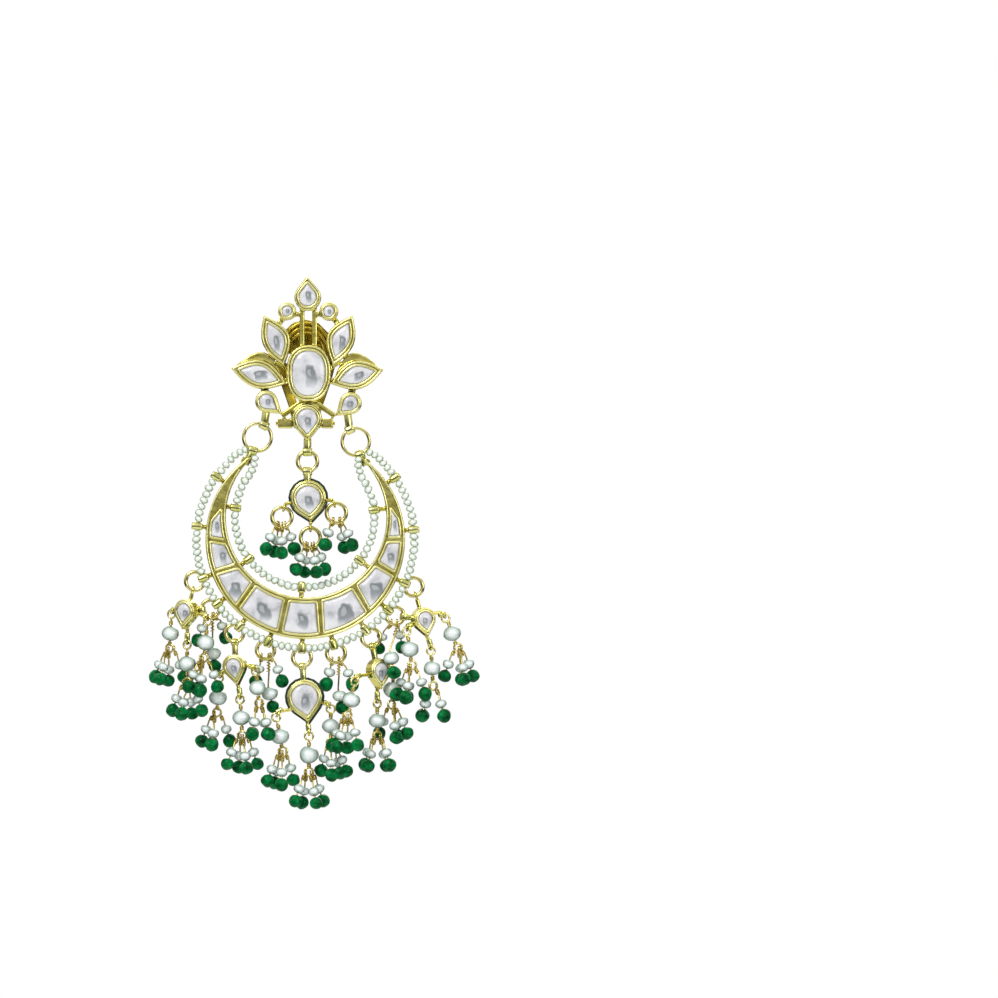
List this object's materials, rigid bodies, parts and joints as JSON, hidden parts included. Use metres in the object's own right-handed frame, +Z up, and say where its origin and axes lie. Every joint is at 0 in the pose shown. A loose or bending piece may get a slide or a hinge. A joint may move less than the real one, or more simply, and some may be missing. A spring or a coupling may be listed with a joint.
{
  "type": "chandbali earring",
  "caption": "Chandbali drop earring: stone-set lotus crown on a post with an omega clip, crescent with seed pearl strands, inner drop and fringe.",
  "frame": {"origin": "centre of the ear post where it leaves the flat back of the crown, the plane that lies on the ear lobe", "axes": "+Z up towards the crown's tip, +Y back along the ear post towards the clip, +X to the right seen from the front"},
  "size_m": [0.0561, 0.0169, 0.0911],
  "materials": {
    "gold_frame": "brushed yellow gold plate with rounded worn edges",
    "gold_findings": "polished yellow gold plate",
    "gold_wire": "polished pale gold wire",
    "polki_stones": "foil-backed flat cut stones, silvery white",
    "dark_enamel": "glossy very dark green enamel",
    "pearls": "white pearls with a soft greenish sheen",
    "green_beads": "translucent green stone beads, polished"
  },
  "bodies": {
    "crown": {"crown_frame": "gold_frame", "ear_post": "gold_findings", "clip_hinge_pin": "gold_findings", "crown_stone_1": "polki_stones", "crown_stone_2": "polki_stones", "crown_stone_3": "polki_stones", "crown_stone_4": "polki_stones", "crown_stone_5": "polki_stones", "crown_stone_6": "polki_stones", "crown_stone_7": "polki_stones", "crown_stone_8": "polki_stones", "crown_stone_9": "polki_stones", "crown_stone_10": "polki_stones", "crown_stone_11": "polki_stones"},
    "clip": {"clip_lever": "gold_findings"},
    "crescent": {"hang_ring_left": "gold_wire", "hang_ring_right": "gold_wire", "crescent_frame": "gold_frame", "crescent_stone_1": "polki_stones", "crescent_stone_2": "polki_stones", "crescent_stone_3": "polki_stones", "crescent_stone_4": "polki_stones", "crescent_stone_5": "polki_stones", "crescent_stone_6": "polki_stones", "crescent_stone_7": "polki_stones", "crescent_stone_8": "polki_stones", "crescent_stone_9": "polki_stones", "outer_pearl_strand": "pearls", "inner_pearl_strand": "pearls", "pendant_frame_1": "gold_frame", "pendant_frame_2": "gold_frame", "pendant_frame_3": "gold_frame", "pendant_frame_4": "gold_frame", "pendant_frame_5": "gold_frame", "pendant_stone_1": "polki_stones", "pendant_stone_2": "polki_stones", "pendant_stone_3": "polki_stones", "pendant_stone_4": "polki_stones", "pendant_stone_5": "polki_stones", "centre_pendant_enamel": "dark_enamel", "fringe_rings": "gold_wire", "fringe_pins": "gold_wire", "fringe_pearls": "pearls", "fringe_wires_left": "gold_wire", "fringe_seeds_left": "pearls", "fringe_emeralds_left": "green_beads", "fringe_wires_right": "gold_wire", "fringe_seeds_right": "pearls", "fringe_emeralds_right": "green_beads"},
    "inner_drop": {"drop_ring": "gold_wire", "inner_drop_frame": "gold_frame", "inner_drop_enamel": "dark_enamel", "inner_drop_stone": "polki_stones", "inner_drop_rings": "gold_wire", "inner_drop_wires": "gold_wire", "inner_drop_pearls": "pearls", "inner_drop_emeralds": "green_beads"}
  },
  "joints": [
    {"name": "crescent_swing", "type": "hinge", "parent": "crown", "child": "crescent", "pos_m": [-0.00024, -0.0011, -0.00915], "axis": [0.9987, 0, -0.0501], "range_deg": [-25, 25]},
    {"name": "inner_drop_swing", "type": "hinge", "parent": "crown", "child": "inner_drop", "pos_m": [-0.00015, -0.0011, -0.01327], "axis": [1, 0, 0], "range_deg": [-25, 25]},
    {"name": "clip_hinge", "type": "hinge", "parent": "crown", "child": "clip", "pos_m": [-0.0006, 0.00155, -0.00846], "axis": [-1, 0, 0], "range_deg": [0, 85]}
  ]
}
